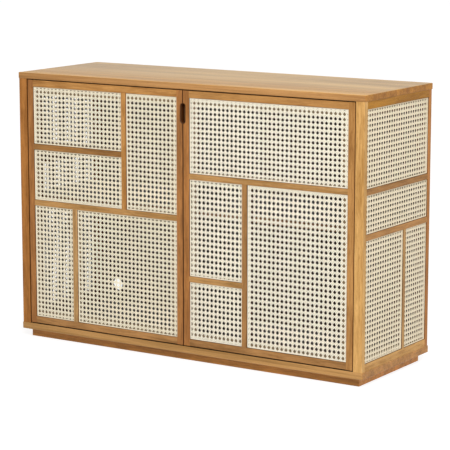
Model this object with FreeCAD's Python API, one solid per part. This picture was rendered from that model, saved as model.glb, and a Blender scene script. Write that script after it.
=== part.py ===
import FreeCAD, Part
import os
from collections import namedtuple

# Two-door sideboard: oak boards and frames, with cane panels let into the doors and the sides.
# Millimetres. X runs across the front, Y from front to back, Z up from the floor.

# Carcass boards
width = 1200.0
depth = 400.0
height = 820.0
top_thickness = 18.0
bottom_thickness = 20.0
board_chamfer = 1.2
plinth_height = 25.0
plinth_setback = 21.0
plinth_thickness = 20.0

# Side frames, set in a little from the ends of the boards
side_thickness = 28.0
side_end_setback = 2.0
side_front_setback = 1.0
side_rear_setback = 2.0
side_stile_face = 17.0
side_rail_face = 22.0
side_mullion_face = 14.0
side_mullion_from_front = 245.0

# Doors, inset between the side frames
door_thickness = 20.0
door_recess = 1.0
door_gap = 2.8
door_bar_face = 20.5
door_edge_chamfer = 1.0

# Bars inside the frames, and the ledges that carry the cane
inner_bar_face = 17.0
outer_ledge = 20.0
inner_ledge = 7.0
rebate_depth = 4.6

# Heights of the inner rails, and places of the door mullions from the middle of the front
middle_rail_height = 424.0
upper_rail_height = 550.5
left_door_upper_rail_height = 596.0
right_door_lower_rail_height = 248.0
door_mullion_offset = 211.0
left_door_low_mullion_offset = 394.0

# Cane panels: one layer of upright strands and one of level strands, inside a bound edge
cane_clearance = 0.2
cane_border = 4.0
cane_layer = 1.6
cane_open_share = 0.45

# Finger pull, half in each meeting stile
pull_width = 18.0
pull_height = 59.0
pull_below_top_board = 70.0
pull_mouth_chamfer = 1.5

# Hidden pivots of the doors
pivot_from_side = 24.0
pivot_from_door_front = 10.0
pivot_radius = 2.5
pivot_depth_in_board = 12.0
pivot_depth_in_door = 13.0
bush_radius = 4.2
bush_depth_in_door = 15.0
bush_end_play = 0.15
running_clearance = 0.05
seat_clearance = 0.02

# Magnetic catches under the top, and the steel plates that they hold
catch_width = 32.0
catch_depth = 16.0
catch_height = 13.0
catch_from_divider = 1.0
catch_chamfer = 1.5
catch_gap = 0.3
strike_width = 24.0
strike_height = 12.0
strike_thickness = 1.2
strike_below_door_top = 1.0

# Back, divider and shelves
back_thickness = 10.0
back_rebate_width = 8.0
back_inset = 2.0
cable_hole_radius = 20.0
cable_hole_from_end = 82.0
cable_hole_height = 105.0
divider_thickness = 18.0
divider_behind_doors = 2.0
shelf_thickness = 18.0
shelf_from_front = 45.0
shelf_play = 2.0
shelf_pin_radius = 3.0
shelf_pin_bite = 8.0
shelf_pin_reach = 10.0
shelf_pin_front_inset = 44.0
shelf_pin_rear_inset = 54.0

V = FreeCAD.Vector
Bar = namedtuple("Bar", "face core")
nodes = {}
leftward = V(-1, 0, 0)
rightward = V(1, 0, 0)
backward = V(0, 1, 0)
upward = V(0, 0, 1)
downward = V(0, 0, -1)

front = -depth / 2
rear = depth / 2
floor_of_case = plinth_height + bottom_thickness
ceiling_of_case = height - top_thickness
side_outer = width / 2 - side_end_setback
side_inner = side_outer - side_thickness
side_front = front + side_front_setback
side_rear = rear - side_rear_setback
door_front = side_front + door_recess
door_back = door_front + door_thickness
door_edge = side_inner - door_gap
door_meeting = door_gap / 2
door_low = floor_of_case + door_gap
door_high = ceiling_of_case - door_gap
back_rear = side_rear - back_inset
back_front = back_rear - back_thickness
divider_front = door_back + divider_behind_doors
divider_face = divider_thickness / 2


# Boxes, and bars between bars
def box(x, y, z):
    return Part.makeBox(x[1] - x[0], y[1] - y[0], z[1] - z[0], V(x[0], y[0], z[0]))


def chamfered_box(x, y, z, chamfer):
    solid = box(x, y, z)
    return solid.makeChamfer(chamfer, solid.Edges)


def cylinder(radius, start, direction, length):
    return Part.makeCylinder(radius, length, start, direction)


def mirrored(shape):
    return shape.mirror(V(0, 0, 0), rightward)


def door_point(across, up, inward):
    return V(across, door_front + inward, up)


def right_side_point(across, up, inward):
    return V(side_outer - inward, across, up)


def left_side_point(across, up, inward):
    return V(inward - side_outer, across, up)


def slab(point, across, up, inward):
    corners = Part.makeLine(point(across[0], up[0], inward[0]), point(across[1], up[1], inward[1])).BoundBox
    return box((corners.XMin, corners.XMax), (corners.YMin, corners.YMax), (corners.ZMin, corners.ZMax))


def low_bar(edge, face_width):
    return Bar((edge, edge + face_width), (edge, edge + face_width + outer_ledge))


def high_bar(edge, face_width):
    return Bar((edge - face_width, edge), (edge - face_width - outer_ledge, edge))


def inner_bar(centre, face_width=inner_bar_face):
    half = face_width / 2
    return Bar((centre - half, centre + half), (centre - half - inner_ledge, centre + half + inner_ledge))


# A bar is a face strip, which laps the ledges of the bars that it ends on, over a wider core
def bar_solid(point, thickness, face_across, face_up, core_across, core_up):
    strip = slab(point, face_across, face_up, (0, rebate_depth))
    core = slab(point, core_across, core_up, (rebate_depth, thickness))
    return strip.fuse(core).removeSplitter()


def stile(point, thickness, bar, run):
    return bar_solid(point, thickness, bar.face, run, bar.core, run)


def rail(point, thickness, bar, left, right):
    face_run = (left.face[1], right.face[0])
    core_run = (left.core[1], right.core[0])
    return bar_solid(point, thickness, face_run, bar.face, core_run, bar.core)


def mullion(point, thickness, bar, below, above):
    face_run = (below.face[1], above.face[0])
    core_run = (below.core[1], above.core[0])
    return bar_solid(point, thickness, bar.face, face_run, bar.core, core_run)


def eased_edge(solid, start, end, chamfer):
    middle = (start + end) / 2
    edges = [edge for edge in solid.Edges if edge.CenterOfMass.distanceToPoint(middle) < chamfer / 10]
    return solid.makeChamfer(chamfer, edges)


# Cane: each layer is one slotted sheet, and the two together leave the square holes of the weave
def outline(point, across, up, inward):
    corners = [(across[0], up[0]), (across[1], up[0]), (across[1], up[1]), (across[0], up[1])]
    points = [point(s, z, inward) for s, z in corners]
    return Part.makePolygon(points + points[:1])


def slotted_layer(point, across, up, slots, inward):
    wires = [outline(point, across, up, inward[0])]
    wires += [outline(point, slot_across, slot_up, inward[0]) for slot_across, slot_up in slots]
    face = Part.makeFace(wires, "Part::FaceMakerBullseye")
    return face.extrude(point(0, 0, inward[1]) - point(0, 0, inward[0]))


def slot_spans(span, count):
    pitch = (span[1] - span[0]) / count
    half = pitch * cane_open_share / 2
    centres = [span[0] + pitch * (number + 0.5) for number in range(count)]
    return [(centre - half, centre + half) for centre in centres]


def cane_panel(point, left, right, below, above, columns, rows):
    across = (left.face[1] + cane_clearance, right.face[0] - cane_clearance)
    up = (below.face[1] + cane_clearance, above.face[0] - cane_clearance)
    field_across = (across[0] + cane_border, across[1] - cane_border)
    field_up = (up[0] + cane_border, up[1] - cane_border)
    upright_slots = [(span, field_up) for span in slot_spans(field_across, columns)]
    level_slots = [(field_across, span) for span in slot_spans(field_up, rows)]
    face_depth = rebate_depth - 2 * cane_layer
    middle_depth = rebate_depth - cane_layer
    upright = slotted_layer(point, across, up, upright_slots, (middle_depth, rebate_depth))
    level = slotted_layer(point, across, up, level_slots, (face_depth, middle_depth))
    return Part.makeCompound([upright, level])


# Top and bottom boards, with blind holes for the pivot pins
pivot_x = side_inner - pivot_from_side
pivot_y = door_front + pivot_from_door_front
pin_starts_low = V(pivot_x, pivot_y, floor_of_case - pivot_depth_in_board)
pin_starts_high = V(pivot_x, pivot_y, ceiling_of_case + pivot_depth_in_board)


def drilled_for_pivots(board, start, direction):
    hole = cylinder(pivot_radius + seat_clearance, start, direction, pivot_depth_in_board)
    return board.cut(hole).cut(mirrored(hole))


board_x = (-width / 2, width / 2)
board_y = (front, rear)
bottom = chamfered_box(board_x, board_y, (plinth_height, floor_of_case), board_chamfer)
top = chamfered_box(board_x, board_y, (ceiling_of_case, height), board_chamfer)
nodes["bottom_panel"] = drilled_for_pivots(bottom, pin_starts_low, upward)
nodes["top_panel"] = drilled_for_pivots(top, pin_starts_high, downward)

# Recessed plinth: long boards in front and behind, short ends between them
plinth_x = width / 2 - plinth_setback
plinth_z = (0, plinth_height)
plinth_front_y = (front + plinth_setback, front + plinth_setback + plinth_thickness)
plinth_back_y = (rear - plinth_setback - plinth_thickness, rear - plinth_setback)
plinth_end = box((plinth_x - plinth_thickness, plinth_x), (plinth_front_y[1], plinth_back_y[0]), plinth_z)
plinth_long = [box((-plinth_x, plinth_x), board, plinth_z) for board in (plinth_front_y, plinth_back_y)]
nodes["plinth_boards"] = Part.makeCompound(plinth_long + [plinth_end, mirrored(plinth_end)])

# Side frames: the edge of the front stile is the post beside the door
side_run = (floor_of_case, ceiling_of_case)
front_stile = low_bar(side_front, side_stile_face)
rear_stile = high_bar(side_rear, side_stile_face)
side_bottom_rail = low_bar(floor_of_case, side_rail_face)
side_top_rail = high_bar(ceiling_of_case, side_rail_face)
middle_rail = inner_bar(middle_rail_height)
upper_rail = inner_bar(upper_rail_height)
side_mullion = inner_bar(front + side_mullion_from_front, side_mullion_face)
shelf_front = front + shelf_from_front
shelf_rear = back_front - shelf_play
shelf_pin_places = (shelf_front + shelf_pin_front_inset, shelf_rear - shelf_pin_rear_inset)
shelf_low = middle_rail_height + shelf_pin_radius


def shelf_pin_holes(face_x, direction, length):
    radius = shelf_pin_radius + seat_clearance
    starts = [V(face_x, y, middle_rail_height) for y in shelf_pin_places]
    return [cylinder(radius, start, direction, length) for start in starts]


def build_side(name, point, inner_x, outward):
    rear_post = stile(point, side_thickness, rear_stile, side_run)
    rebate_x = sorted((inner_x, inner_x + outward.x * back_rebate_width))
    rebate = box(rebate_x, (back_front, side_rear), side_run)
    shelf_rail = rail(point, side_thickness, middle_rail, front_stile, rear_stile)
    nodes[name + "_front_stile"] = stile(point, side_thickness, front_stile, side_run)
    nodes[name + "_rear_stile"] = rear_post.cut(rebate)
    nodes[name + "_top_rail"] = rail(point, side_thickness, side_top_rail, front_stile, rear_stile)
    nodes[name + "_upper_rail"] = rail(point, side_thickness, upper_rail, front_stile, rear_stile)
    nodes[name + "_middle_rail"] = shelf_rail.cut(shelf_pin_holes(inner_x, outward, shelf_pin_bite))
    nodes[name + "_bottom_rail"] = rail(point, side_thickness, side_bottom_rail, front_stile, rear_stile)
    nodes[name + "_mullion"] = mullion(point, side_thickness, side_mullion, side_bottom_rail, middle_rail)
    cane = name + "_cane_"
    nodes[cane + "top"] = cane_panel(
        point, front_stile, rear_stile, upper_rail, side_top_rail, columns=25, rows=15)
    nodes[cane + "middle"] = cane_panel(
        point, front_stile, rear_stile, middle_rail, upper_rail, columns=25, rows=7)
    nodes[cane + "low_front"] = cane_panel(
        point, front_stile, side_mullion, side_bottom_rail, middle_rail, columns=15, rows=23)
    nodes[cane + "low_rear"] = cane_panel(
        point, side_mullion, rear_stile, side_bottom_rail, middle_rail, columns=9, rows=23)


build_side("left_side", left_side_point, -side_inner, leftward)
build_side("right_side", right_side_point, side_inner, rightward)

# Back board in the rebates of the rear stiles, with a hole for cables
back_x = side_inner + back_rebate_width
back = box((-back_x, back_x), (back_front, back_rear), side_run)
cable_hole_start = V(cable_hole_from_end - width / 2, back_front, cable_hole_height)
nodes["back_panel"] = back.cut(cylinder(cable_hole_radius, cable_hole_start, backward, back_thickness))

# Divider behind the meeting stiles, and a shelf at each side of it
divider = box((-divider_face, divider_face), (divider_front, back_front), side_run)
nodes["centre_divider"] = divider.cut(shelf_pin_holes(-divider_face, rightward, divider_thickness))

shelf_x = (divider_face + shelf_play, side_inner - shelf_play)
shelf_z = (shelf_low, shelf_low + shelf_thickness)
nodes["shelf_right"] = box(shelf_x, (shelf_front, shelf_rear), shelf_z)
nodes["shelf_left"] = mirrored(nodes["shelf_right"])

# Short pins in the side frames, and long pins through the divider that carry both shelves
shelf_pins = []
for place in shelf_pin_places:
    side_end = V(side_inner - shelf_pin_reach, place, middle_rail_height)
    side_pin = cylinder(shelf_pin_radius, side_end, rightward, shelf_pin_reach + shelf_pin_bite)
    divider_end = V(-divider_face - shelf_pin_reach, place, middle_rail_height)
    divider_pin = cylinder(shelf_pin_radius, divider_end, rightward, divider_thickness + 2 * shelf_pin_reach)
    shelf_pins += [side_pin, mirrored(side_pin), divider_pin]
nodes["shelf_pins"] = Part.makeCompound(shelf_pins)

# Door frames
door_run = (door_low, door_high)
door_bottom_rail = low_bar(door_low, door_bar_face)
door_top_rail = high_bar(door_high, door_bar_face)
left_hinge = low_bar(-door_edge, door_bar_face)
left_meeting = high_bar(-door_meeting, door_bar_face)
right_meeting = low_bar(door_meeting, door_bar_face)
right_hinge = high_bar(door_edge, door_bar_face)


def door_stile(bar, outer_edge):
    solid = stile(door_point, door_thickness, bar, door_run)
    return eased_edge(solid, door_point(outer_edge, door_low, 0), door_point(outer_edge, door_high, 0),
                      door_edge_chamfer)


def door_end_rail(bar, left, right, outer_edge):
    solid = door_rail(bar, left, right)
    start = door_point(left.face[1], outer_edge, 0)
    return eased_edge(solid, start, door_point(right.face[0], outer_edge, 0), door_edge_chamfer)


def door_rail(bar, left, right):
    return rail(door_point, door_thickness, bar, left, right)


def door_mullion(bar, below, above):
    return mullion(door_point, door_thickness, bar, below, above)


def pull_outline(grow, inward):
    radius = pull_width / 2 + grow
    reach = pull_height / 2 - pull_width / 2
    height_of_pull = ceiling_of_case - pull_below_top_board
    low, high = height_of_pull - reach, height_of_pull + reach
    lower_arc = Part.Arc(door_point(-radius, low, inward), door_point(0, low - radius, inward),
                         door_point(radius, low, inward))
    upper_arc = Part.Arc(door_point(radius, high, inward), door_point(0, high + radius, inward),
                         door_point(-radius, high, inward))
    right_line = Part.LineSegment(door_point(radius, low, inward), door_point(radius, high, inward))
    left_line = Part.LineSegment(door_point(-radius, high, inward), door_point(-radius, low, inward))
    return Part.Wire([curve.toShape() for curve in (lower_arc, right_line, upper_arc, left_line)])


# The pull goes right through the meeting stiles, and its mouth is chamfered
pull_hole = Part.Face(pull_outline(0, 0)).extrude(backward * door_thickness)
mouth_outlines = [pull_outline(pull_mouth_chamfer, 0), pull_outline(0, pull_mouth_chamfer)]
finger_pull = pull_hole.fuse(Part.makeLoft(mouth_outlines, True, True))

# The bushes stand out of the ends of the hinge stiles, almost to the boards that carry the doors
bush_stand_out = door_gap - bush_end_play
bush_length = bush_stand_out + bush_depth_in_door
bush_starts_low = V(pivot_x, pivot_y, door_low - bush_stand_out)
bush_starts_high = V(pivot_x, pivot_y, door_high + bush_stand_out)
bush_seat_radius = bush_radius + seat_clearance
right_bush_holes = [
    cylinder(bush_seat_radius, bush_starts_low, upward, bush_length),
    cylinder(bush_seat_radius, bush_starts_high, downward, bush_length),
]
left_bush_holes = [mirrored(hole) for hole in right_bush_holes]

# Left door
left_middle = inner_bar(middle_rail_height)
left_upper = inner_bar(left_door_upper_rail_height)
left_high_mullion = inner_bar(-door_mullion_offset)
left_low_mullion = inner_bar(-left_door_low_mullion_offset)
nodes["left_door_hinge_stile"] = door_stile(left_hinge, -door_edge).cut(left_bush_holes)
nodes["left_door_meeting_stile"] = door_stile(left_meeting, -door_meeting).cut(finger_pull)
nodes["left_door_top_rail"] = door_end_rail(door_top_rail, left_hinge, left_meeting, door_high)
nodes["left_door_bottom_rail"] = door_end_rail(door_bottom_rail, left_hinge, left_meeting, door_low)
nodes["left_door_middle_rail"] = door_rail(left_middle, left_hinge, left_meeting)
nodes["left_door_upper_rail"] = door_rail(left_upper, left_hinge, left_high_mullion)
nodes["left_door_upper_mullion"] = door_mullion(left_high_mullion, left_middle, door_top_rail)
nodes["left_door_lower_mullion"] = door_mullion(left_low_mullion, door_bottom_rail, left_middle)
nodes["left_door_cane_top_left"] = cane_panel(
    door_point, left_hinge, left_high_mullion, left_upper, door_top_rail, columns=22, rows=12)
nodes["left_door_cane_mid_left"] = cane_panel(
    door_point, left_hinge, left_high_mullion, left_middle, left_upper, columns=22, rows=10)
nodes["left_door_cane_top_right"] = cane_panel(
    door_point, left_high_mullion, left_meeting, left_middle, door_top_rail, columns=12, rows=23)
nodes["left_door_cane_low_left"] = cane_panel(
    door_point, left_hinge, left_low_mullion, door_bottom_rail, left_middle, columns=10, rows=23)
nodes["left_door_cane_low_right"] = cane_panel(
    door_point, left_low_mullion, left_meeting, door_bottom_rail, left_middle, columns=24, rows=23)

# Right door
right_upper = inner_bar(upper_rail_height)
right_lower = inner_bar(right_door_lower_rail_height)
right_mullion = inner_bar(door_mullion_offset)
nodes["right_door_hinge_stile"] = door_stile(right_hinge, door_edge).cut(right_bush_holes)
nodes["right_door_meeting_stile"] = door_stile(right_meeting, door_meeting).cut(finger_pull)
nodes["right_door_top_rail"] = door_end_rail(door_top_rail, right_meeting, right_hinge, door_high)
nodes["right_door_bottom_rail"] = door_end_rail(door_bottom_rail, right_meeting, right_hinge, door_low)
nodes["right_door_upper_rail"] = door_rail(right_upper, right_meeting, right_hinge)
nodes["right_door_lower_rail"] = door_rail(right_lower, right_meeting, right_mullion)
nodes["right_door_mullion"] = door_mullion(right_mullion, door_bottom_rail, right_upper)
nodes["right_door_cane_top"] = cane_panel(
    door_point, right_meeting, right_hinge, right_upper, door_top_rail, columns=36, rows=15)
nodes["right_door_cane_mid_left"] = cane_panel(
    door_point, right_meeting, right_mullion, right_lower, right_upper, columns=12, rows=17)
nodes["right_door_cane_low_left"] = cane_panel(
    door_point, right_meeting, right_mullion, door_bottom_rail, right_lower, columns=12, rows=10)
nodes["right_door_cane_low_right"] = cane_panel(
    door_point, right_mullion, right_hinge, door_bottom_rail, right_upper, columns=22, rows=30)


# Pivots: a pin in each board turns in the bush in the end of the hinge stile
def pivot_bush(start, direction):
    bush = cylinder(bush_radius, start, direction, bush_length)
    return bush.cut(cylinder(pivot_radius + running_clearance, start, direction, bush_length))


pin_length = pivot_depth_in_board + door_gap + pivot_depth_in_door
right_pivots = [
    cylinder(pivot_radius, pin_starts_low, upward, pin_length),
    cylinder(pivot_radius, pin_starts_high, downward, pin_length),
]
right_bushes = [pivot_bush(bush_starts_low, upward), pivot_bush(bush_starts_high, downward)]
nodes["pivot_pins"] = Part.makeCompound(right_pivots + [mirrored(pin) for pin in right_pivots])
nodes["right_door_bushes"] = Part.makeCompound(right_bushes)
nodes["left_door_bushes"] = Part.makeCompound([mirrored(bush) for bush in right_bushes])

# Catches beside the divider hold a steel plate on the back of each meeting stile
catch_x = (divider_face + catch_from_divider, divider_face + catch_from_divider + catch_width)
catch_middle = (catch_x[0] + catch_x[1]) / 2
catch_front = door_back + strike_thickness + catch_gap
catch_y = (catch_front, catch_front + catch_depth)
catch = chamfered_box(catch_x, catch_y, (ceiling_of_case - catch_height, ceiling_of_case), catch_chamfer)
nodes["door_catches"] = Part.makeCompound([catch, mirrored(catch)])

strike_x = (catch_middle - strike_width / 2, catch_middle + strike_width / 2)
strike_top = door_high - strike_below_door_top
strike = box(strike_x, (door_back, door_back + strike_thickness), (strike_top - strike_height, strike_top))
nodes["right_door_strike_plate"] = strike
nodes["left_door_strike_plate"] = mirrored(strike)

os.makedirs("parts", exist_ok=True)
for name, shape in nodes.items():
    shape.exportStep("parts/" + name + ".step")
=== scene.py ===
import math

import bpy
import numpy as np
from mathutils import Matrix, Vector


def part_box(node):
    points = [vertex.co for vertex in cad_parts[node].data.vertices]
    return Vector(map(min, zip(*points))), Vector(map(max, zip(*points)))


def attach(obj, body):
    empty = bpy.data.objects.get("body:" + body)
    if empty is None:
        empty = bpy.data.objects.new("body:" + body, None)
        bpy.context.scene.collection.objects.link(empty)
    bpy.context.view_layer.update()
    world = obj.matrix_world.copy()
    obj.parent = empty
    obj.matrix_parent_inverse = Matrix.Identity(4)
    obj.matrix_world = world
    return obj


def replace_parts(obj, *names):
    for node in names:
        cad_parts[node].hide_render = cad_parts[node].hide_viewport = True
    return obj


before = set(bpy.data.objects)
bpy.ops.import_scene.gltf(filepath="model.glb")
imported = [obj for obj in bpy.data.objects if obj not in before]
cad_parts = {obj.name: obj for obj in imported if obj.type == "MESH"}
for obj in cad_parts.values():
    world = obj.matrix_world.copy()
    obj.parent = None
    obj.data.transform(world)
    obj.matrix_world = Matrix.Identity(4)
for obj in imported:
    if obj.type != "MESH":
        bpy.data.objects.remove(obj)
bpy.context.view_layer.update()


# Plinth: four oak boards butted at the corners, set back under the carcass and screwed up into it.
# Solid oak, sawn along the grain, sanded and sealed with a satin lacquer.
# Its end boards are painted paler than the long ones, as painted light on the ends.
def new_node(tree, kind, **settings):
    node = tree.nodes.new(kind)
    for setting, value in settings.items():
        setattr(node, setting, value)
    return node


def feed(tree, socket, value):
    """Links another node's output to a socket, or sets a plain value on it."""
    if isinstance(value, bpy.types.NodeSocket):
        tree.links.new(value, socket)
    else:
        socket.default_value = value


def maths(tree, operation, *values):
    node = new_node(tree, "ShaderNodeMath", operation=operation)
    for socket, value in zip(node.inputs, values):
        feed(tree, socket, value)
    return node.outputs[0]


def vector_maths(tree, operation, *values):
    node = new_node(tree, "ShaderNodeVectorMath", operation=operation)
    second = node.inputs["Scale"] if operation == "SCALE" else node.inputs[1]
    for socket, value in zip((node.inputs[0], second), values):
        feed(tree, socket, value)
    return node.outputs["Value" if operation == "LENGTH" else "Vector"]


def stretched_noise(tree, place, stretch, detail, roughness=0.5):
    noise = new_node(tree, "ShaderNodeTexNoise")
    noise.inputs["Scale"].default_value = 1.0
    noise.inputs["Detail"].default_value = detail
    noise.inputs["Roughness"].default_value = roughness
    feed(tree, noise.inputs["Vector"], vector_maths(tree, "MULTIPLY", place, stretch))
    return noise.outputs[0]


def eased_between(tree, value, low, high):
    node = new_node(tree, "ShaderNodeMapRange", interpolation_type="SMOOTHSTEP")
    feed(tree, node.inputs["Value"], value)
    node.inputs["From Min"].default_value = low
    node.inputs["From Max"].default_value = high
    return node.outputs["Result"]


def blended(tree, share, first, second, kind="MIX"):
    node = new_node(tree, "ShaderNodeMix", data_type="RGBA", blend_type=kind)
    for socket, value in zip((node.inputs[0], node.inputs[6], node.inputs[7]), (share, first, second)):
        feed(tree, socket, value)
    return node.outputs[2]


def object_place(tree):
    return new_node(tree, "ShaderNodeTexCoord").outputs["Object"]


def axes_of(tree, place):
    axes = new_node(tree, "ShaderNodeSeparateXYZ")
    feed(tree, axes.inputs[0], place)
    return axes.outputs


def new_group(name, inputs, outputs):
    group = bpy.data.node_groups.new(name, "ShaderNodeTree")
    for title, kind in inputs.items():
        group.interface.new_socket(title, in_out="INPUT", socket_type="NodeSocket" + kind)
    for title, kind in outputs.items():
        group.interface.new_socket(title, in_out="OUTPUT", socket_type="NodeSocket" + kind)
    return group, new_node(group, "NodeGroupInput").outputs, new_node(group, "NodeGroupOutput").inputs


def use_group(tree, group, **values):
    node = new_node(tree, "ShaderNodeGroup", node_tree=group)
    for title, value in values.items():
        feed(tree, node.inputs[title], value)
    return node.outputs


# Oak grain along the X of its place: growth rings about a far pith, drifting tone and open pores.
# A stretch says how often a pattern changes in a metre, along the grain and then across it.
drift_stretch = (2.2, 15.0, 15.0)
figure_stretch = (11.0, 52.0, 52.0)
streak_stretch = (14.0, 175.0, 175.0)
pore_stretch = (95.0, 2100.0, 2100.0)
across_grain = (0.0, 1.0, 1.0)
pith_offset = (0.0, 0.21, 0.34)
ring_spacing = 0.0085
ring_wander = 0.055
late_wood_sharpness = 2.2
late_wood_share = 0.28
late_wood_rise = 0.25
board_share = 0.16
palest_board = -0.26
satin_dullness = 0.34
streak_dullness = 0.16
pore_dullness = 0.12
pore_share = 0.35
pore_sink = -0.9
pore_shadow = (0.45, 0.40, 0.36, 1.0)
grain_group, grain_in, grain_out = new_group(
    "oak_grain",
    {"Place": "Vector", "Shortness": "Float", "Board": "Float", "Pale": "Color", "Dark": "Color"},
    {"Color": "Color", "Roughness": "Float", "Height": "Float"},
)
shortened = new_node(grain_group, "ShaderNodeCombineXYZ")
for socket, length in zip(shortened.inputs, (grain_in["Shortness"], 1.0, 1.0)):
    feed(grain_group, socket, length)
drawn_out = vector_maths(grain_group, "MULTIPLY", grain_in["Place"], shortened.outputs[0])
drift = stretched_noise(grain_group, drawn_out, drift_stretch, detail=2.0)
figure = stretched_noise(grain_group, drawn_out, figure_stretch, detail=3.0, roughness=0.55)
streak = stretched_noise(grain_group, drawn_out, streak_stretch, detail=4.0, roughness=0.65)
dashes = stretched_noise(grain_group, grain_in["Place"], pore_stretch, detail=2.0)
pores = eased_between(grain_group, dashes, low=0.56, high=0.70)
from_pith = vector_maths(grain_group, "ADD", grain_in["Place"], pith_offset)
off_grain = vector_maths(grain_group, "MULTIPLY", from_pith, across_grain)
radius = vector_maths(grain_group, "LENGTH", off_grain)
wandering = maths(grain_group, "MULTIPLY_ADD", figure, ring_wander, radius)
ring_share = maths(grain_group, "FRACT", maths(grain_group, "DIVIDE", wandering, ring_spacing))
late_wood = maths(grain_group, "POWER", ring_share, late_wood_sharpness)
tone = maths(grain_group, "MULTIPLY_ADD", grain_in["Board"], board_share, palest_board)
for pattern, low, high, share in (
    (drift, 0.36, 0.64, 0.43),
    (figure, 0.37, 0.63, 0.43),
    (streak, 0.34, 0.66, 0.36),
):
    eased = eased_between(grain_group, pattern, low, high)
    tone = maths(grain_group, "MULTIPLY_ADD", eased, share, tone)
tone = maths(grain_group, "MULTIPLY_ADD", late_wood, late_wood_share, tone)
sawn = blended(grain_group, tone, grain_in["Pale"], grain_in["Dark"])
in_pores = blended(grain_group, 1.0, grain_in["Dark"], pore_shadow, "MULTIPLY")
pore_mask = maths(grain_group, "MULTIPLY", pores, pore_share)
feed(grain_group, grain_out["Color"], blended(grain_group, pore_mask, sawn, in_pores))
satin = maths(grain_group, "MULTIPLY_ADD", streak, streak_dullness, satin_dullness)
feed(grain_group, grain_out["Roughness"], maths(grain_group, "MULTIPLY_ADD", pores, pore_dullness, satin))
relief = maths(grain_group, "MULTIPLY_ADD", late_wood, late_wood_rise, streak)
feed(grain_group, grain_out["Height"], maths(grain_group, "MULTIPLY_ADD", pores, pore_sink, relief))

# Only the show faces are clear oak: what lies behind them, inside this box, is painted dark, as painted
# shade.
# The ledges under the edges of the cane get a painted shade of their own, apart from those of the sides'
# top rails.
show_depth = 0.0006
shade_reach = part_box("right_side_front_stile")[1].x - show_depth
shade_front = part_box("left_door_top_rail")[0].y + show_depth
shade_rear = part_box("back_panel")[1].y - show_depth
shade_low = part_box("bottom_panel")[1].z - show_depth / 2
shade_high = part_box("top_panel")[0].z + show_depth / 2
door_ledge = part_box("left_door_cane_top_left")[1].y
side_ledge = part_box("right_side_cane_top")[0].x
ledge_reach = 0.0205
side_top_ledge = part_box("right_side_cane_top")[1].z - ledge_reach
inside_shade_group, inside_shade_in, inside_shade_out = new_group(
    "painted_inside_shade", {"Place": "Vector", "Front": "Float"}, {"Mask": "Float", "Ledge": "Float"})
shade_across, shade_deep, shade_upward = axes_of(inside_shade_group, inside_shade_in["Place"])
from_middle = maths(inside_shade_group, "ABSOLUTE", shade_across)
inside = maths(inside_shade_group, "LESS_THAN", from_middle, shade_reach)
for within in (
    maths(inside_shade_group, "GREATER_THAN", shade_deep, inside_shade_in["Front"]),
    maths(inside_shade_group, "LESS_THAN", shade_deep, shade_rear),
    maths(inside_shade_group, "GREATER_THAN", shade_upward, shade_low),
    maths(inside_shade_group, "LESS_THAN", shade_upward, shade_high),
):
    inside = maths(inside_shade_group, "MULTIPLY", inside, within)
feed(inside_shade_group, inside_shade_out["Mask"], inside)
on_door_ledge = maths(inside_shade_group, "COMPARE", shade_deep, door_ledge, show_depth)
on_side_ledge = maths(inside_shade_group, "COMPARE", from_middle, side_ledge, show_depth)
below_top_rail = maths(inside_shade_group, "LESS_THAN", shade_upward, side_top_ledge)
on_side_ledge = maths(inside_shade_group, "MULTIPLY", on_side_ledge, below_top_rail)
feed(inside_shade_group, inside_shade_out["Ledge"], maths(inside_shade_group, "MAXIMUM", on_door_ledge, on_side_ledge))


def shader_of(material):
    return material.node_tree.nodes["Principled BSDF"]


def new_material(name):
    material = bpy.data.materials.new(name)
    material.use_nodes = True
    return material, material.node_tree, shader_of(material)


def bump(tree, shader, height, strength, distance):
    node = new_node(tree, "ShaderNodeBump")
    node.inputs["Strength"].default_value = strength
    node.inputs["Distance"].default_value = distance
    feed(tree, node.inputs["Height"], height)
    feed(tree, shader.inputs["Normal"], node.outputs[0])


# The ledges under the cane take mostly this dark colour, as painted shade behind the cane.
ledge_painted_shade = (0.15, 0.135, 0.085, 1.0)
ledge_shade_share = 0.75
oak_gloss = 0.28
grain_axes = {"X": (0, 1, 2), "Y": (1, 2, 0), "Z": (2, 0, 1)}
board_shift = (3.7, 0.41, 0.26)


def oak(name, grain, pale, dark, inside_shade, front=shade_front, shortness=0.8):
    """Oak with its grain along one axis, cut from each board's own place, with painted shade behind front.
    """
    material, tree, shader = new_material(name)
    where = object_place(tree)
    board = new_node(tree, "ShaderNodeObjectInfo").outputs["Random"]
    axes = axes_of(tree, where)
    along_grain = new_node(tree, "ShaderNodeCombineXYZ")
    for socket, axis in zip(along_grain.inputs, grain_axes[grain]):
        feed(tree, socket, axes[axis])
    own_shift = vector_maths(tree, "SCALE", board_shift, board)
    own_place = vector_maths(tree, "ADD", along_grain.outputs[0], own_shift)
    wood = use_group(tree, grain_group, Place=own_place, Shortness=shortness, Board=board,
                     Pale=(*pale, 1.0), Dark=(*dark, 1.0))
    behind = use_group(tree, inside_shade_group, Place=where, Front=front)
    shaded_inside = blended(tree, 1.0, wood["Color"], (*inside_shade, 1.0), "MULTIPLY")
    shaded_ledge = blended(tree, ledge_shade_share, wood["Color"], ledge_painted_shade)
    hidden = blended(tree, behind["Ledge"], shaded_inside, shaded_ledge)
    feed(tree, shader.inputs["Base Color"], blended(tree, behind["Mask"], wood["Color"], hidden))
    feed(tree, shader.inputs["Roughness"], wood["Roughness"])
    shader.inputs["Specular IOR Level"].default_value = oak_gloss
    bump(tree, shader, wood["Height"], strength=0.25, distance=0.0004)
    return material


def finish(name, material):
    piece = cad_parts[name]
    piece.data.materials.clear()
    piece.data.materials.append(material)
    return piece


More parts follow.
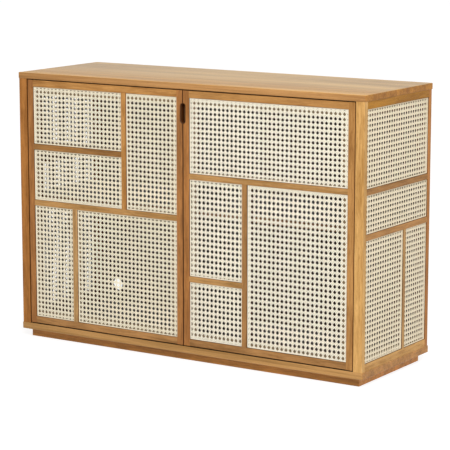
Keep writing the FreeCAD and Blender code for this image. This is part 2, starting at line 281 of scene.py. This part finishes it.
# The corners of each oak piece are broken with a fine round, as sandpaper leaves them
edge_round = 0.0005
weld_reach = 0.00001
sharp_angle = math.radians(40.0)


def break_edges(piece):
    joined = piece.modifiers.new("joined_faces", "WELD")
    joined.merge_threshold = weld_reach
    rounded = piece.modifiers.new("broken_edges", "BEVEL")
    rounded.width = edge_round
    rounded.segments = 2
    rounded.limit_method = "ANGLE"
    rounded.angle_limit = sharp_angle
    rounded.harden_normals = True


# A tint multiplies a board's colour where its mask is 1: a stronger stain on end grain, and painted light
# and painted shade on some faces.
stain_and_light_group, stain_and_light_in, stain_and_light_out = new_group(
    "stain_and_light", {"Color": "Color", "Mask": "Float", "Wash": "Color"}, {"Color": "Color"})
under_stain_and_light = blended(stain_and_light_group, 1.0, stain_and_light_in["Color"], stain_and_light_in["Wash"], "MULTIPLY")
feed(stain_and_light_group, stain_and_light_out["Color"], blended(stain_and_light_group, stain_and_light_in["Mask"], stain_and_light_in["Color"], under_stain_and_light))


def tint_with_stain_and_light(board_oak, mask, stain_and_light):
    tree = board_oak.node_tree
    colour = shader_of(board_oak).inputs["Base Color"]
    plain = colour.links[0].from_socket
    feed(tree, colour, use_group(tree, stain_and_light_group, Color=plain, Mask=mask, Wash=(*stain_and_light, 1.0))["Color"])


# The end faces of a board lie as far from the middle of the sideboard as the board reaches
ends_group, ends_in, ends_out = new_group(
    "end_faces", {"Place": "Vector", "Reach": "Float"}, {"Mask": "Float"})
ends_distance = maths(ends_group, "ABSOLUTE", axes_of(ends_group, ends_in["Place"])["X"])
feed(ends_group, ends_out["Mask"], maths(ends_group, "GREATER_THAN", ends_distance, ends_in["Reach"]))


def on_ends(tree, board):
    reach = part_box(board)[1].x - show_depth
    return use_group(tree, ends_group, Place=object_place(tree), Reach=reach)["Mask"]


# The hidden faces of the frames and the plinth are darkened by this, as painted shade.
rebate_painted_shade = (0.30, 0.20, 0.12)
ginger = ((0.580, 0.250, 0.053), (0.294, 0.117, 0.019))
plinth_end_painted_light = (1.45, 1.42, 1.32)
plinth_oak = oak("plinth_oak", "X", *ginger, rebate_painted_shade)
tint_with_stain_and_light(plinth_oak, on_ends(plinth_oak.node_tree, "plinth_boards"), plinth_end_painted_light)
break_edges(finish("plinth_boards", plinth_oak))


# Bottom and top boards: veneered oak boards with solid lippings, chamfered along their edges.
# The grain runs across the front, the inner faces are painted dark, as painted shade, and the end grain
# drinks in more stain than the rest.
inside_painted_shade = (0.09, 0.06, 0.04)
tan = ((0.570, 0.302, 0.100), (0.295, 0.148, 0.036))
sand = ((0.545, 0.278, 0.097), (0.268, 0.118, 0.030))
wide_board = 0.16
top_end_stain = (0.87, 0.73, 0.26)
bottom_end_stain = (0.90, 0.77, 0.52)
bottom_oak = oak("bottom_oak", "X", *tan, inside_painted_shade, shortness=wide_board)
top_oak = oak("top_oak", "X", *sand, inside_painted_shade, shortness=wide_board)
finish("bottom_panel", bottom_oak)
finish("top_panel", top_oak)

# Only the top's upper face has a last coat of lacquer, and towards the front it is worn thin. The upper
# face is painted paler, as painted light from above, and warmer towards the front, as painted light.
top_face_painted_light = (1.07, 1.26, 0.99)
top_front_painted_light = (1.18, 1.06, 0.84)
warm_from = 0.02
warm_to = -0.18
top_coat = 0.25
front_wear = 0.70
top_tree = top_oak.node_tree
top_shader = shader_of(top_oak)
top_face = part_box("top_panel")[1].z - show_depth
top_axes = axes_of(top_tree, object_place(top_tree))
on_face = maths(top_tree, "GREATER_THAN", top_axes["Z"], top_face)
frontward = eased_between(top_tree, top_axes["Y"], warm_from, warm_to)
near_front = maths(top_tree, "MULTIPLY", on_face, frontward)
tint_with_stain_and_light(top_oak, on_face, top_face_painted_light)
tint_with_stain_and_light(top_oak, near_front, top_front_painted_light)
tint_with_stain_and_light(top_oak, on_ends(top_tree, "top_panel"), top_end_stain)
tint_with_stain_and_light(bottom_oak, on_ends(bottom_oak.node_tree, "bottom_panel"), bottom_end_stain)
coat_left = maths(top_tree, "MULTIPLY_ADD", near_front, -front_wear, on_face)
feed(top_tree, top_shader.inputs["Coat Weight"], maths(top_tree, "MULTIPLY", coat_left, top_coat))
top_shader.inputs["Coat Roughness"].default_value = 0.28
top_shader.inputs["Specular IOR Level"].default_value = 0.20


# Side frames: upright stiles and level rails of solid oak, lapped and glued where they meet.
# The front stile's edge is the post beside the door, and each bar keeps a ledge for the cane.
# The bars were picked from several boards, so their tones differ.
def shaded(tone, share):
    return tuple(tuple(part * share for part in colour) for colour in tone)


golden = ((0.700, 0.400, 0.138), (0.385, 0.190, 0.048))
russet = ((0.510, 0.208, 0.050), (0.258, 0.097, 0.018))
amber = ((0.440, 0.195, 0.020), (0.215, 0.085, 0.006))
taupe = ((0.505, 0.248, 0.078), (0.258, 0.116, 0.027))
oat = ((0.660, 0.385, 0.145), (0.320, 0.162, 0.048))
side_gloss = 0.12
# The front stiles are painted darker on their outer side faces, as painted shade, and the right one is
# painted a little lighter, as painted light.
post_side_painted_shade = (0.93, 0.95, 0.97)
left_side_bars = {
    "front_stile": russet, "rear_stile": russet, "mullion": russet,
    "top_rail": russet, "upper_rail": russet, "middle_rail": taupe, "bottom_rail": russet,
}
right_side_bars = {
    "front_stile": shaded(golden, 1.05), "rear_stile": russet, "mullion": shaded(oat, 0.84),
    "top_rail": amber, "upper_rail": shaded(taupe, 0.88), "middle_rail": shaded(taupe, 0.95),
    "bottom_rail": golden,
}
for side, bars in (("left_side", left_side_bars), ("right_side", right_side_bars)):
    for bar, bar_tone in bars.items():
        grain = "Y" if bar.endswith("rail") else "Z"
        bar_oak = oak(side + "_" + bar + "_oak", grain, *bar_tone, rebate_painted_shade)
        shader_of(bar_oak).inputs["Specular IOR Level"].default_value = side_gloss
        if bar == "front_stile":
            tint_with_stain_and_light(bar_oak, on_ends(bar_oak.node_tree, "right_side_front_stile"), post_side_painted_shade)
        break_edges(finish(side + "_" + bar, bar_oak))


# Back board: a veneered board let into the rebates of the rear stiles, painted dark inside as painted
# shade.
# Socket-head screws hold it to the stiles and to the rear edge of the divider.
fawn = ((0.580, 0.284, 0.090), (0.300, 0.136, 0.033))
break_edges(finish("back_panel", oak("back_oak", "X", *fawn, inside_painted_shade, shortness=wide_board)))

# Turned and pressed metal has fine scratches, a little darker and duller than the rest
scratch_stretch = (900.0, 900.0, 60.0)
scratch_shade = 0.8
scratch_dullness = 0.25
metal_group, metal_in, metal_out = new_group(
    "scratched_metal",
    {"Place": "Vector", "Bright": "Color", "Worn": "Color", "Dullness": "Float"},
    {"Color": "Color", "Roughness": "Float"},
)
scratches = stretched_noise(metal_group, metal_in["Place"], scratch_stretch, detail=3.0)
scratched_dullness = maths(metal_group, "MULTIPLY_ADD", scratches, scratch_dullness, metal_in["Dullness"])
feed(metal_group, metal_out["Color"], blended(metal_group, scratches, metal_in["Bright"], metal_in["Worn"]))
feed(metal_group, metal_out["Roughness"], scratched_dullness)


def metal(name, colour, dullness):
    material, tree, shader = new_material(name)
    worn = tuple(scratch_shade * part for part in colour)
    surface = use_group(tree, metal_group, Place=object_place(tree), Bright=(*colour, 1.0),
                        Worn=(*worn, 1.0), Dullness=dullness)
    feed(tree, shader.inputs["Base Color"], surface["Color"])
    feed(tree, shader.inputs["Roughness"], surface["Roughness"])
    shader.inputs["Metallic"].default_value = 1.0
    return material


steel = metal("steel", (0.60, 0.59, 0.57), 0.22)
screw_sides = 24
socket_reach = 0.46


def new_object(name, data):
    thing = bpy.data.objects.new(name, data)
    bpy.context.scene.collection.objects.link(thing)
    return thing


def screw_heads(name, body, places, outward, radius, height):
    """Domed heads with a six-sided socket, all turned the same way, in one piece."""
    turns = np.linspace(0.0, 2 * math.pi, screw_sides, endpoint=False)
    socket = socket_reach / np.cos(turns % (math.pi / 3) - math.pi / 6)
    rings = ((1.0, 0.0), (1.0, 0.45), (0.90, 0.82), (0.70, 1.0), (socket, 1.0), (socket, 0.35))
    outward = Vector(outward)
    sideways = outward.orthogonal().normalized()
    upright = outward.cross(sideways)
    points, faces = [], []
    for place in places:
        first = len(points)
        for reach, rise in rings:
            for turn, share in zip(turns, np.broadcast_to(reach, turns.shape)):
                swing = sideways * math.cos(turn) + upright * math.sin(turn)
                points.append(Vector(place) + swing * (share * radius) + outward * (rise * height))
        index = first + np.arange(len(rings) * screw_sides).reshape(len(rings), screw_sides)
        onward = np.roll(index, -1, axis=1)
        quads = np.stack([index[:-1], onward[:-1], onward[1:], index[1:]], axis=-1)
        faces += quads.reshape(-1, 4).tolist() + [index[0][::-1].tolist(), index[-1].tolist()]
    mesh = bpy.data.meshes.new(name)
    mesh.from_pydata(points, [], faces)
    mesh.materials.append(steel)
    piece = new_object(name, mesh)
    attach(piece, body)


back_screw_inset = 0.004
back_screw_end_gap = 0.045
back_screws_in_row = 6
back_low, back_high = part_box("back_panel")
back_screw_heights = np.linspace(back_low.z + back_screw_end_gap, back_high.z - back_screw_end_gap,
                                 back_screws_in_row)
back_screw_rows = (back_low.x + back_screw_inset, 0.0, back_high.x - back_screw_inset)
back_screw_places = [(x, back_high.y, z) for x in back_screw_rows for z in back_screw_heights]
screw_heads("back_screws", "carcass", back_screw_places, (0.0, 1.0, 0.0), radius=0.0030, height=0.0014)


# Divider and shelves: oak boards with plain lippings, each shelf on steel pins, coloured dark brown as
# painted shade inside the cabinet. Behind their lippings they are painted darker still, so their front
# edges are a little lighter and show as a faint brown line behind the cane.
umber = ((0.240, 0.115, 0.042), (0.150, 0.066, 0.020))
shelf_painted_shade = (0.16, 0.16, 0.16)
for name, grain in (("centre_divider", "Z"), ("shelf_left", "X"), ("shelf_right", "X")):
    lipping_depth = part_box(name)[0].y + show_depth
    board_oak = oak(name + "_oak", grain, *umber, shelf_painted_shade, front=lipping_depth)
    break_edges(finish(name, board_oak))


# Cane in the side frames: six-way webbing, soaked, pressed into the rebate and dried taut.
# Pairs of upright and level strands cross in a plain weave, two diagonals lock them, and a
# half-round reed beds the edges. The left side has a heavier grade of webbing than the right.
# This dark brown on the strands' undersides and lower walls is partly the pith's own colour and partly
# painted shade in the holes.
underside_brown_and_shade = (0.045, 0.030, 0.016, 1.0)
cane_gloss = 0.3
fibre_stretch = (60.0, 1400.0, 31.0)
patch_stretch = (14.0, 60.0, 17.0)
fibre_share = 0.45
patch_share = 0.55
bark_dullness = 0.30
fibre_dullness = 0.22
cane_group, cane_in, cane_out = new_group(
    "cane_fibre",
    {"Place": "Vector", "Underside": "Float", "Pale": "Color", "Dark": "Color"},
    {"Color": "Color", "Roughness": "Float", "Height": "Float"},
)
fibre = stretched_noise(cane_group, cane_in["Place"], fibre_stretch, detail=3.0, roughness=0.6)
patch = stretched_noise(cane_group, cane_in["Place"], patch_stretch, detail=2.0)
fibre_tone = eased_between(cane_group, fibre, low=0.30, high=0.75)
patch_tone = eased_between(cane_group, patch, low=0.30, high=0.70)
bark_tone = maths(cane_group, "MULTIPLY", fibre_tone, fibre_share)
bark_tone = maths(cane_group, "MULTIPLY_ADD", patch_tone, patch_share, bark_tone)
bark = blended(cane_group, bark_tone, cane_in["Pale"], cane_in["Dark"])
bark_satin = maths(cane_group, "MULTIPLY_ADD", fibre, fibre_dullness, bark_dullness)
feed(cane_group, cane_out["Color"], blended(cane_group, cane_in["Underside"], bark, underside_brown_and_shade))
feed(cane_group, cane_out["Roughness"], bark_satin)
feed(cane_group, cane_out["Height"], fibre)


def cane_finish(name, pale, dark):
    material, tree, shader = new_material(name)
    place = new_node(tree, "ShaderNodeAttribute", attribute_name="strand_place").outputs["Vector"]
    underside = new_node(tree, "ShaderNodeAttribute", attribute_name="strand_underside").outputs["Fac"]
    strand = use_group(tree, cane_group, Place=place, Underside=underside,
                       Pale=(*pale, 1.0), Dark=(*dark, 1.0))
    feed(tree, shader.inputs["Base Color"], strand["Color"])
    feed(tree, shader.inputs["Roughness"], strand["Roughness"])
    shader.inputs["Specular IOR Level"].default_value = cane_gloss
    bump(tree, shader, strand["Height"], strength=0.2, distance=0.0002)
    return material


def cane_piece(name, points, faces, places, undersides, uvs, material, body):
    corners = np.concatenate([face.ravel() for face in faces])
    totals = np.concatenate([np.full(len(face), face.shape[1]) for face in faces])
    mesh = bpy.data.meshes.new(name)
    mesh.vertices.add(len(points))
    mesh.vertices.foreach_set("co", points.astype(np.float32).ravel())
    mesh.loops.add(len(corners))
    mesh.loops.foreach_set("vertex_index", corners.astype(np.int32))
    mesh.polygons.add(len(totals))
    mesh.polygons.foreach_set("loop_start", (np.cumsum(totals) - totals).astype(np.int32))
    mesh.polygons.foreach_set("use_smooth", np.ones(len(totals), bool))
    mesh.update(calc_edges=True)
    place = mesh.attributes.new("strand_place", "FLOAT_VECTOR", "POINT")
    place.data.foreach_set("vector", places.astype(np.float32).ravel())
    underside = mesh.attributes.new("strand_underside", "FLOAT", "POINT")
    underside.data.foreach_set("value", undersides.astype(np.float32))
    unwrapped = mesh.uv_layers.new(name="OFBake")
    unwrapped.uv.foreach_set("vector", np.concatenate([uv.ravel() for uv in uvs]).astype(np.float32))
    mesh.materials.append(material)
    piece = new_object(name, mesh)
    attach(piece, body)
    return piece


# Each strand is unwrapped as a strip of its own, and its two ends as small caps beyond the strips
strip_margin = 0.1
strip_start = 0.01
strip_length = 0.96
cap_places = (0.98, 0.99)
cap_length = 0.004
cap_share = 0.3


def strip_uv(strip, strips, sides, run):
    """One strip: the strand's length along u, the way round it along v."""
    v = (strip + strip_margin + (1 - 2 * strip_margin) * np.arange(sides + 1) / sides) / strips
    u = strip_start + strip_length * run
    low_u, low_v = np.meshgrid(u[:-1], v[:-1], indexing="ij")
    high_u, high_v = np.meshgrid(u[1:], v[1:], indexing="ij")
    return np.stack([low_u, low_v, high_u, low_v, high_u, high_v, low_u, high_v], axis=-1).reshape(-1, 4, 2)


# A strand is split from the cane's bark: flat and pale outside, narrower and brown underneath.
# The shade is how brown it is at each corner of its section: partly the pith's own brown, partly painted
# shade deep in the holes.
strand_width = 0.00226
strand_thickness = 0.00110
half_section = np.array([(0.38, -0.50), (0.50, -0.14), (0.50, 0.10), (0.30, 0.48)])
strand_section = np.concatenate([half_section, half_section[::-1] * (-1, 1)])
half_shade = np.array([1.0, 1.0, 0.12, 0.0])
strand_shade = np.concatenate([half_shade, half_shade[::-1]])


def strand_piece(name, strands, material, body):
    """All the strands of a panel in one piece, from each one's rings of points, run and fibre."""
    sides = len(strand_section)
    longest = max(run[-1] - run[0] for _, run, _ in strands)
    angles = np.linspace(0.0, 2 * math.pi, sides, endpoint=False)
    cap = np.stack([np.cos(angles) * cap_length, np.sin(angles) * cap_share / len(strands)], axis=-1)
    points, quads, caps, places, quad_uvs, cap_uvs = [], [], [], [], [], []
    start = 0
    for number, (rings, run, fibre_place) in enumerate(strands):
        index = start + np.arange(len(rings) * sides).reshape(-1, sides)
        turned = np.roll(index, -1, axis=1)
        quads.append(np.stack([index[:-1], index[1:], turned[1:], turned[:-1]], axis=-1).reshape(-1, 4))
        caps += [index[0], index[-1][::-1]]
        points.append(rings.reshape(-1, 3))
        place = np.empty((len(rings), sides, 3))
        place[..., 0] = run[:, None]
        place[..., 1] = strand_section[None, :, 0] * strand_width
        place[..., 2] = fibre_place
        places.append(place.reshape(-1, 3))
        quad_uvs.append(strip_uv(number, len(strands), sides, (run - run[0]) / longest))
        cap_uvs += [cap + (end_u, (number + 0.5) / len(strands)) for end_u in cap_places]
        start += index.size
    points = np.concatenate(points)
    places = np.concatenate(places)
    undersides = np.tile(strand_shade, len(points) // sides)
    faces = [np.concatenate(quads), np.array(caps)]
    uvs = [np.concatenate(quad_uvs), np.array(cap_uvs)]
    return cane_piece(name, points, faces, places, undersides, uvs, material, body)


up = np.array((0.0, 0.0, 1.0))
edging_width = 0.0034
edging_height = 0.0027
edging_sides = 8
edging_fibre = 4.0


def edging(name, body, material, base, across, outward, width, height):
    """A half-round reed, mitred at the corners, that beds the edge of the weave in the rebate."""
    arc = np.linspace(0.0, math.pi, edging_sides)
    half = edging_width / 2
    inset = np.array([(1, 1), (-1, 1), (-1, -1), (1, -1)])
    bends = np.array([(0.0, 0.0), (width, 0.0), (width, height), (0.0, height)]) + inset * half
    flat = (bends[:, None, :] - inset[:, None, :] * (np.cos(arc) * half)[None, :, None]).reshape(-1, 2)
    rise = np.tile(np.sin(arc) * edging_height, 4)
    points = base + flat[:, :1] * across + flat[:, 1:] * up + np.outer(rise, outward)
    index = np.arange(4 * edging_sides).reshape(4, edging_sides)
    onward = np.roll(index, -1, axis=0)
    quads = np.stack([index, onward, np.roll(onward, -1, axis=1), np.roll(index, -1, axis=1)], axis=-1)
    fibre_places = np.full(len(flat), edging_fibre)
    places = np.stack([flat.sum(axis=1), np.tile(np.cos(arc) * half, 4), fibre_places], axis=-1)
    uvs = [strip_uv(bend, 4, edging_sides, np.array((0.0, 1.0))) for bend in range(4)]
    cane_piece(name, points, [quads.reshape(-1, 4)], places, np.zeros(len(points)), uvs, material, body)


least_step = 1e-6


def knots_between(low, high, knots, heights):
    """The places along a strand where its height is set, cut to the strand's own ends."""
    held = (knots > low + least_step) & (knots < high - least_step)
    along = np.concatenate([[low], knots[held], [high]])
    return along, np.interp(along, knots, heights)


def repeated(unit, first, step, count):
    return (first + step * np.arange(count)[:, None] + np.array(unit)[None, :]).ravel()


# The pairs lie an offset each side of their line, and step over and under each other. The diagonals
# run over and under the crossings, where the knots lie, as shares of the way from pair to pair.
# The webbing starts a few holes outside each panel and is cut a tuck inside its edges.
pair_offset = 0.00150
weave_step = 0.00046
diagonal_step = 0.00080
diagonal_knots = (0.16, 0.34, 0.66, 0.84)
diagonal_turns = np.array((-1.0, 1.0, 1.0, -1.0))
shortest_diagonal = 0.2
edge_tuck = 0.0010
strand_spread = 0.05
strand_sway = 0.00007
fibre_span = 9
lead_in = 2.5
spare_pairs = 6
spare_lines = 2


def weave(node_name, body, material, across, outward, first_hole, pitch, gauge, bulk):
    """Cane in a node's place. The first hole and the pitch are measured across and up.

    The gauge scales the width of the strands and bulk scales their thickness.
    """
    low, high = (np.array(corner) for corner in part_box(node_name))
    across = np.array(across)
    outward = np.array(outward)
    width = abs((high - low) @ across)
    height = high[2] - low[2]
    depth = abs((high - low) @ outward)
    corner = (low + high) / 2 - across * width / 2 - up * height / 2
    rebate_floor = corner - outward * depth / 2
    lift = max(0.0, (diagonal_step + strand_thickness / 2) * bulk - depth / 2)
    corner = corner + outward * lift
    rng = np.random.default_rng(sum(map(ord, node_name)))
    pitch_a, pitch_b = pitch
    pair_a, pair_b = np.array(first_hole) - lead_in * np.array(pitch)
    count_a = int(width / pitch_a) + spare_pairs
    count_b = int(height / pitch_b) + spare_pairs
    offset = pair_offset * gauge
    strands = []

    def lay(points_a, points_b, heights, width_a, width_b):
        size = strand_width * gauge * rng.uniform(1 - strand_spread, 1 + strand_spread)
        sway = strand_sway * rng.standard_normal(len(heights))
        centre = corner + np.outer(points_a + sway * width_a, across)
        centre = centre + np.outer(points_b + sway * width_b, up) + np.outer(heights * bulk, outward)
        wide = (across * width_a + up * width_b) * size
        thick = outward * strand_thickness * bulk
        section = strand_section[:, :1] * wide + strand_section[:, 1:] * thick
        run = np.hypot(points_a - points_a[0], points_b - points_b[0]) + rng.uniform(0, fibre_span)
        strands.append((centre[:, None, :] + section[None, :, :], run, rng.uniform(0, fibre_span)))

    for turn in (-1, 1):
        knots = repeated((-offset, offset), pair_b, pitch_b, count_b)
        heights = np.tile((turn * -weave_step, turn * weave_step), count_b)
        along, lifted = knots_between(edge_tuck, height - edge_tuck, knots, heights)
        for place_a in pair_a + turn * offset + pitch_a * np.arange(count_a):
            if edge_tuck < place_a < width - edge_tuck:
                lay(np.full(len(along), place_a), along, lifted, 1.0, 0.0)
        knots = repeated((-offset, offset), pair_a, pitch_a, count_a)
        heights = np.tile((turn * weave_step, turn * -weave_step), count_a)
        along, lifted = knots_between(edge_tuck, width - edge_tuck, knots, heights)
        for place_b in pair_b + turn * offset + pitch_b * np.arange(count_b):
            if edge_tuck < place_b < height - edge_tuck:
                lay(along, np.full(len(along), place_b), lifted, 0.0, -1.0)

    slant = np.array(pitch) / np.hypot(pitch_a, pitch_b)
    ends_a = (np.array((edge_tuck, width - edge_tuck)) - pair_a) / pitch_a
    ends_b = (np.array((edge_tuck, height - edge_tuck)) - pair_b) / pitch_b
    count_knots = count_a + 2 * spare_lines
    knots = repeated(diagonal_knots, -spare_lines, 1.0, count_knots)
    for turn in (-1, 1):
        heights = np.tile(diagonal_turns * diagonal_step * turn, count_knots)
        for line in np.arange(-count_b - spare_lines, count_a + count_b + spare_lines) + 0.5:
            crossed = np.sort(line + turn * ends_b)
            first, last = max(ends_a[0], crossed[0]), min(ends_a[1], crossed[1])
            if last - first > shortest_diagonal:
                along, lifted = knots_between(first, last, knots, heights)
                lay(pair_a + along * pitch_a, pair_b + turn * (along - line) * pitch_b, lifted,
                    slant[1], -turn * slant[0])

    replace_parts(strand_piece(node_name + "_weave", strands, material, body), node_name)
    edging(node_name + "_edging", body, material, rebate_floor, across, outward, width, height)


# The side cane is painted darker and yellower than the door cane, as painted shade on the sides.
side_cane = cane_finish("side_cane", (0.905, 0.805, 0.612), (0.825, 0.695, 0.486))
left_side_panels = {
    "top": ((0.0067, 0.0105), (0.0141, 0.0144)),
    "middle": ((0.0057, 0.0031), (0.0142, 0.0144)),
    "low_front": ((0.0045, 0.0082), (0.0139, 0.0140)),
    "low_rear": ((0.0074, 0.0053), (0.0141, 0.0145)),
}
right_side_panels = {
    "top": ((0.0037, 0.0058), (0.0142, 0.0141)),
    "middle": ((0.0039, 0.0077), (0.0140, 0.0139)),
    "low_front": ((0.0044, 0.0021), (0.0143, 0.0143)),
    "low_rear": ((0.0042, 0.0053), (0.0133, 0.0143)),
}
for side, outward, panels, gauge, bulk in (
    ("left_side", -1.0, left_side_panels, 1.35, 1.5),
    ("right_side", 1.0, right_side_panels, 0.94, 0.82),
):
    for panel, (first_hole, pitch) in panels.items():
        weave(side + "_cane_" + panel, "carcass", side_cane, (0.0, outward, 0.0), (outward, 0.0, 0.0),
              first_hole, pitch, gauge, bulk)


# Door frames: stiles and rails of solid oak, lapped and rebated like the side frames.
# Each door has its own pattern of bars, and the finger pull is cut half into each meeting stile.
honey = ((0.590, 0.288, 0.080), (0.305, 0.126, 0.022))
chestnut = ((0.420, 0.198, 0.050), (0.205, 0.086, 0.016))
door_bars = {
    "left_door": {
        "hinge_stile": shaded(russet, 0.95), "meeting_stile": shaded(russet, 0.88),
        "upper_mullion": shaded(honey, 1.08), "lower_mullion": shaded(oat, 0.92),
        "top_rail": honey, "upper_rail": shaded(chestnut, 0.94),
        "middle_rail": tan, "bottom_rail": shaded(taupe, 0.94),
    },
    "right_door": {
        "hinge_stile": shaded(honey, 0.86), "meeting_stile": russet, "mullion": shaded(taupe, 0.90),
        "top_rail": shaded(honey, 0.83), "upper_rail": shaded(tan, 0.90),
        "lower_rail": shaded(tan, 0.92), "bottom_rail": shaded(taupe, 0.91),
    },
}
for door, bars in door_bars.items():
    for bar, bar_tone in bars.items():
        grain = "X" if bar.endswith("rail") else "Z"
        bar_oak = oak(door + "_" + bar + "_oak", grain, *bar_tone, rebate_painted_shade)
        break_edges(finish(door + "_" + bar, bar_oak))


# Cane in the doors: nine pieces of webbing with finer strands, each pressed in on its own, so that
# none lines up with the next. They are painted the palest, as painted light on the front, and the left
# door a little darker than the right, as painted shade.
door_canes = {
    "left_door": cane_finish("left_door_cane", (0.970, 0.888, 0.697), (0.890, 0.788, 0.580)),
    "right_door": cane_finish("right_door_cane", (0.980, 0.918, 0.762), (0.905, 0.823, 0.648)),
}
door_gauges = {"left_door": 0.82, "right_door": 0.88}
door_panels = {
    "left_door": {
        "top_left": ((0.0001, 0.0065), (0.0141, 0.0138)),
        "mid_left": ((0.0137, 0.0135), (0.0142, 0.0138)),
        "top_right": ((0.0081, 0.0037), (0.0142, 0.0143)),
        "low_left": ((0.0101, 0.0024), (0.0131, 0.0142)),
        "low_right": ((0.0069, 0.0051), (0.0142, 0.0141)),
    },
    "right_door": {
        "top": ((0.0028, 0.0047), (0.0141, 0.0143)),
        "mid_left": ((0.0054, 0.0016), (0.0143, 0.0156)),
        "low_left": ((0.0053, 0.0148), (0.0140, 0.0155)),
        "low_right": ((0.0015, 0.0095), (0.0143, 0.0155)),
    },
}
for door, panels in door_panels.items():
    for panel, (first_hole, pitch) in panels.items():
        weave(door + "_cane_" + panel, door, door_canes[door], (1.0, 0.0, 0.0), (0.0, -1.0, 0.0),
              first_hole, pitch, door_gauges[door], door_gauges[door])


# Pivots and shelf pins: turned steel pins pressed into the boards and the side frames.
# The doors turn on them in brass bushes, coloured a dark brown.
brass = metal("dark_brass", (0.20, 0.12, 0.05), 0.45)
for name in ("pivot_pins", "shelf_pins"):
    finish(name, steel)
for name in ("left_door_bushes", "right_door_bushes"):
    finish(name, brass)


# Catches and strike plates: a magnet in a moulded case under the top holds a steel plate on each door.
# Two screws fix each case from below, and one flat screw fixes each plate.
mould_brown = (0.040, 0.026, 0.018, 1.0)
mould_black = (0.022, 0.014, 0.010, 1.0)
mould_stretch = (1500.0, 1500.0, 1500.0)
mould_dullness = 0.4
mould_grain_dullness = 0.2
moulded, moulded_tree, moulded_shader = new_material("moulded_brown")
mould_grain = stretched_noise(moulded_tree, object_place(moulded_tree), mould_stretch, detail=2.0)
mould_colour = blended(moulded_tree, mould_grain, mould_brown, mould_black)
mould_matt = maths(moulded_tree, "MULTIPLY_ADD", mould_grain, mould_grain_dullness, mould_dullness)
feed(moulded_tree, moulded_shader.inputs["Base Color"], mould_colour)
feed(moulded_tree, moulded_shader.inputs["Roughness"], mould_matt)
bump(moulded_tree, moulded_shader, mould_grain, strength=0.3, distance=0.0002)
finish("door_catches", moulded)
catch_low, catch_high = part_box("door_catches")
catch_half = 0.016
catch_screw_offset = 0.010
catch_middle = catch_high.x - catch_half
catch_deep = (catch_low.y + catch_high.y) / 2
catch_screw_places = [(side * (catch_middle + offset), catch_deep, catch_low.z)
                      for side in (-1, 1) for offset in (-catch_screw_offset, catch_screw_offset)]
screw_heads("catch_screws", "carcass", catch_screw_places, (0.0, 0.0, -1.0), radius=0.0026, height=0.0008)
for door in ("left_door", "right_door"):
    plate_low, plate_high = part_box(door + "_strike_plate")
    finish(door + "_strike_plate", steel)
    plate_middle = (plate_low + plate_high) / 2
    plate_place = (plate_middle.x, plate_high.y, plate_middle.z)
    screw_heads(door + "_strike_screw", door, [plate_place], (0.0, 1.0, 0.0), radius=0.0024, height=0.00015)


# Floor: a plain white sweep, matt and far wider than the view, that keeps the sideboard's soft shadow.
# To the eye it glows a little, so that it stays white, and to the light it is a plain pale board.
def shown_plainly(tree):
    """1 for the rays that show a background: straight, in a gloss or through something clear."""
    ray = new_node(tree, "ShaderNodeLightPath").outputs
    straight_or_gloss = maths(tree, "MAXIMUM", ray["Is Camera Ray"], ray["Is Glossy Ray"])
    return maths(tree, "MAXIMUM", straight_or_gloss, ray["Is Transmission Ray"])


floor_reach = 60.0
floor_pale = (0.72, 0.72, 0.72, 1.0)
floor_shown_grey = (0.36, 0.36, 0.36, 1.0)
floor_glow = 0.76
white = (1.0, 1.0, 1.0, 1.0)
floor_mesh = bpy.data.meshes.new("floor")
floor_corners = [(-floor_reach, -floor_reach, 0.0), (floor_reach, -floor_reach, 0.0),
                 (floor_reach, floor_reach, 0.0), (-floor_reach, floor_reach, 0.0)]
floor_mesh.from_pydata(floor_corners, [], [(0, 1, 2, 3)])
floor = new_object("floor", floor_mesh)
floor_white, floor_tree, floor_shader = new_material("floor_white")
floor_mesh.materials.append(floor_white)
floor_shader.inputs["Roughness"].default_value = 0.9
floor_shader.inputs["Specular IOR Level"].default_value = 0.1
floor_shown = shown_plainly(floor_tree)
floor_colour = blended(floor_tree, floor_shown, floor_pale, floor_shown_grey)
floor_strength = maths(floor_tree, "MULTIPLY", floor_shown, floor_glow)
feed(floor_tree, floor_shader.inputs["Base Color"], floor_colour)
floor_shader.inputs["Emission Color"].default_value = white
feed(floor_tree, floor_shader.inputs["Emission Strength"], floor_strength)


# Light: an even white room and one broad lamp from the front right.
# The room lights the sideboard at about two thirds of the white that it shows as a background.
room_light = 0.66
room_glow = 0.34
room = bpy.data.worlds.new("white_room")
bpy.context.scene.world = room
room.use_nodes = True
room_tree = room.node_tree
background = room_tree.nodes["Background"]
background.inputs["Color"].default_value = white
room_strength = maths(room_tree, "MULTIPLY_ADD", shown_plainly(room_tree), room_glow, room_light)
feed(room_tree, background.inputs["Strength"], room_strength)

lamp_place = Vector((2.85, -3.11, 3.9))
lamp_target = Vector((0.0, 0.0, 0.42))
lamp_data = bpy.data.lights.new("key_lamp", "AREA")
lamp_data.energy = 206.0
lamp_data.size = 3.2
lamp = new_object("key_lamp", lamp_data)
lamp.location = lamp_place
lamp.rotation_mode = "QUATERNION"
lamp.rotation_quaternion = (lamp_target - lamp_place).to_track_quat("-Z", "Y")


# Camera: a long lens at the front right, nearly six metres off and a little above the top.
# It turns to the left and looks down on the sideboard, without shift or depth of field.
camera_place = (3.1677, -4.8722, 1.4046)
turn_left = math.radians(32.887)
look_down = math.radians(10.030)
looking = Vector((-math.sin(turn_left) * math.cos(look_down), math.cos(turn_left) * math.cos(look_down),
                  -math.sin(look_down)))
camera_data = bpy.data.cameras.new("camera")
camera_data.lens = 157.70
camera_data.sensor_width = 36.0
camera_data.clip_end = 200.0
camera = new_object("camera", camera_data)
camera.location = camera_place
camera.rotation_mode = "QUATERNION"
camera.rotation_quaternion = looking.to_track_quat("-Z", "Y")
bpy.context.scene.camera = camera
bpy.context.scene.view_settings.view_transform = "Standard"
